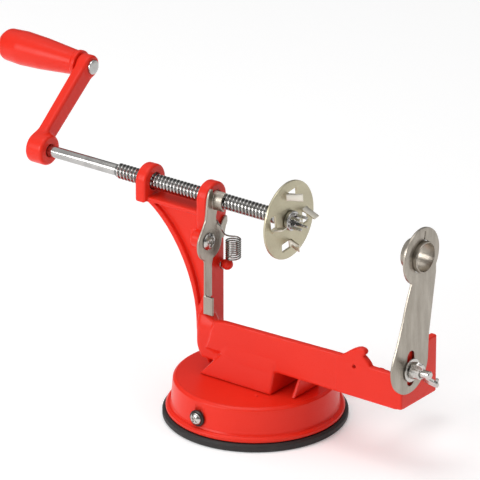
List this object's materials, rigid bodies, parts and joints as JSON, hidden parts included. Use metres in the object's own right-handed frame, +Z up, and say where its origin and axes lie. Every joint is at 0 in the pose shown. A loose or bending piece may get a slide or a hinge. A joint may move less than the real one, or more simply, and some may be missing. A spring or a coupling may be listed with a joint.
{
  "type": "apple peeler corer",
  "caption": "Suction-base hand-cranked fruit peeler: a threaded shaft in a red plastic frame feeds the fruit past a peeling arm into a slicing and coring ring.",
  "frame": {"origin": "centre of the suction cup's underside, on the table", "axes": "+Z up, +X along the feed shaft from the crank to the slicing arm, -Y the side with the base's screw head"},
  "size_m": [0.3585, 0.1151, 0.1783],
  "materials": {
    "red_plastic": "glossy moulded plastic",
    "rubber": "matt",
    "steel": "stamped sheet, faintly brushed",
    "chrome": "bright plated",
    "dark": "dark satin"
  },
  "bodies": {
    "stand": {"suction_cup": "rubber", "base_housing": "red_plastic", "frame": "red_plastic", "lever_screw": "chrome", "lever_spring": "chrome", "clamp_bolt": "chrome", "peel_rod": "chrome"},
    "suction_cam": {"cam": "dark", "cam_axle": "chrome", "axle_washer": "dark", "axle_screw": "chrome", "suction_lever": "red_plastic"},
    "stem": {"cup_stem": "dark"},
    "feed": {"thrust_washer": "steel"},
    "spindle": {"feed_shaft": "chrome", "drive_disc": "steel", "centre_fork": "chrome", "crank_arm": "red_plastic", "crank_screw": "chrome", "grip_pin": "chrome"},
    "grip_sleeve": {"grip": "red_plastic"},
    "lever": {"release_lever": "steel"},
    "arm_clamp": {"arm_washer": "chrome"},
    "slicer": {"slicer_arm": "steel", "coring_ring": "steel"},
    "nut": {"wing_nut": "chrome"},
    "peeler": {"peel_arm": "steel", "blade_pin": "chrome"},
    "blade": {"peel_blade": "steel"}
  },
  "joints": [
    {"name": "suction_lever_turn", "type": "hinge", "parent": "stand", "child": "suction_cam", "pos_m": [-0.0046, 0, 0.0144], "axis": [0, -1, 0], "range_deg": [0, 50]},
    {"name": "stem_lift", "type": "slide", "parent": "stand", "child": "stem", "axis": [0, 0, 1], "range_m": [0, 0.0021]},
    {"name": "feed_slide", "type": "slide", "parent": "stand", "child": "feed", "axis": [1, 0, 0], "range_m": [-0.0326, 0.0651]},
    {"name": "crank_turn", "type": "hinge", "parent": "feed", "child": "spindle", "pos_m": [0, 0, 0.13], "axis": [1, 0, 0], "range_deg": [-4680, 9360]},
    {"name": "grip_spin", "type": "hinge", "parent": "spindle", "child": "grip_sleeve", "pos_m": [-0.19, 0.04743, 0.16772], "axis": [1, 0, 0], "continuous": true},
    {"name": "lever_turn", "type": "hinge", "parent": "stand", "child": "lever", "pos_m": [-0.0283, -0.01, 0.1068], "axis": [1, 0, 0], "range_deg": [0, 15], "stiffness_Nm_per_rad": 0.2, "springref_deg": -20.05, "deforming": ["lever_spring"]},
    {"name": "slicer_swing", "type": "hinge", "parent": "stand", "child": "arm_clamp", "pos_m": [0.118, -0.0096, 0.064], "axis": [1, 0, 0], "range_deg": [-90, 90]},
    {"name": "slicer_height", "type": "slide", "parent": "arm_clamp", "child": "slicer", "axis": [0, 0, 1], "range_m": [-0.009, 0.007]},
    {"name": "nut_spin", "type": "hinge", "parent": "stand", "child": "nut", "pos_m": [0.122, -0.0096, 0.064], "axis": [1, 0, 0], "continuous": true},
    {"name": "peeler_swing", "type": "hinge", "parent": "stand", "child": "peeler", "pos_m": [0.084, -0.0045, 0.052], "axis": [1, 0, 0], "range_deg": [0, 85]},
    {"name": "blade_tilt", "type": "hinge", "parent": "peeler", "child": "blade", "pos_m": [0.084, 0.05579, 0.02516], "axis": [1, 0, 0], "range_deg": [-20, 20]}
  ],
  "couplings": [
    {"joint": "feed_slide", "follows": "crank_turn", "m_per_rad": 0.00039789},
    {"joint": "stem_lift", "follows": "suction_lever_turn", "m_per_rad": 0.001931}
  ]
}
